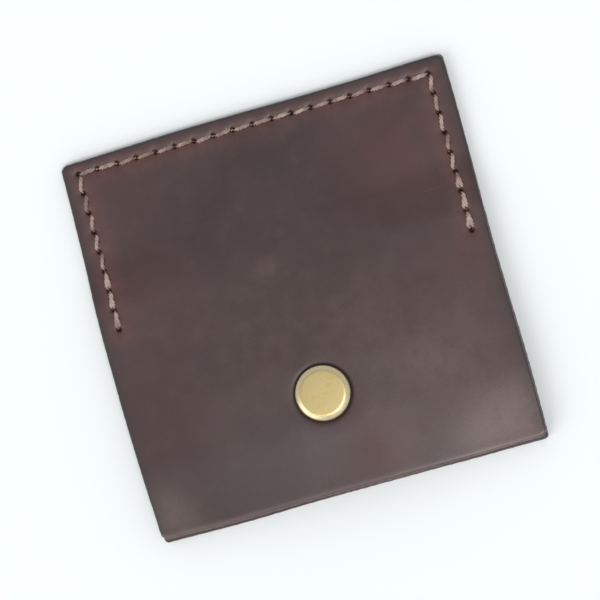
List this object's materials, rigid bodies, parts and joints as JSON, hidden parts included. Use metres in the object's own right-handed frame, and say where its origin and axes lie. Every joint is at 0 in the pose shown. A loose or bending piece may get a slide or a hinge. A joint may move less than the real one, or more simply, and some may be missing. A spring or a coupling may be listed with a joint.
{
  "type": "coin purse",
  "caption": "Square flat leather coin purse: a pocket stitched to a back panel, closed by a wide front flap with a brass snap.",
  "frame": {"origin": "middle of the back face, on the surface the closed purse lies on", "axes": "+X across the width, +Y from the bottom edge to the top edge, +Z out through the flap and its snap"},
  "size_m": [0.08, 0.08, 0.0107],
  "materials": {
    "leather": "waxed dark brown pull-up leather, low sheen",
    "thread": "waxed brown thread",
    "cap_brass": "antique brass with a worn bright rim",
    "inner_brass": "plain antique brass"
  },
  "bodies": {
    "body": {"back_panel": "leather", "pocket_panel": "leather", "flap_root": "leather", "flap_thread": "thread", "pocket_thread": "thread", "snap_stud": "inner_brass", "snap_eyelet": "inner_brass"},
    "flap": {"flap": "leather", "snap_cap": "cap_brass", "snap_cap_post": "inner_brass", "snap_socket": "inner_brass", "snap_spring": "inner_brass"}
  },
  "joints": [
    {"name": "flap_hinge", "type": "hinge", "parent": "body", "child": "flap", "pos_m": [0, 0.00149, 0.00515], "axis": [-1, 0, 0], "range_deg": [0, 130], "deforming": ["snap_spring"]}
  ]
}
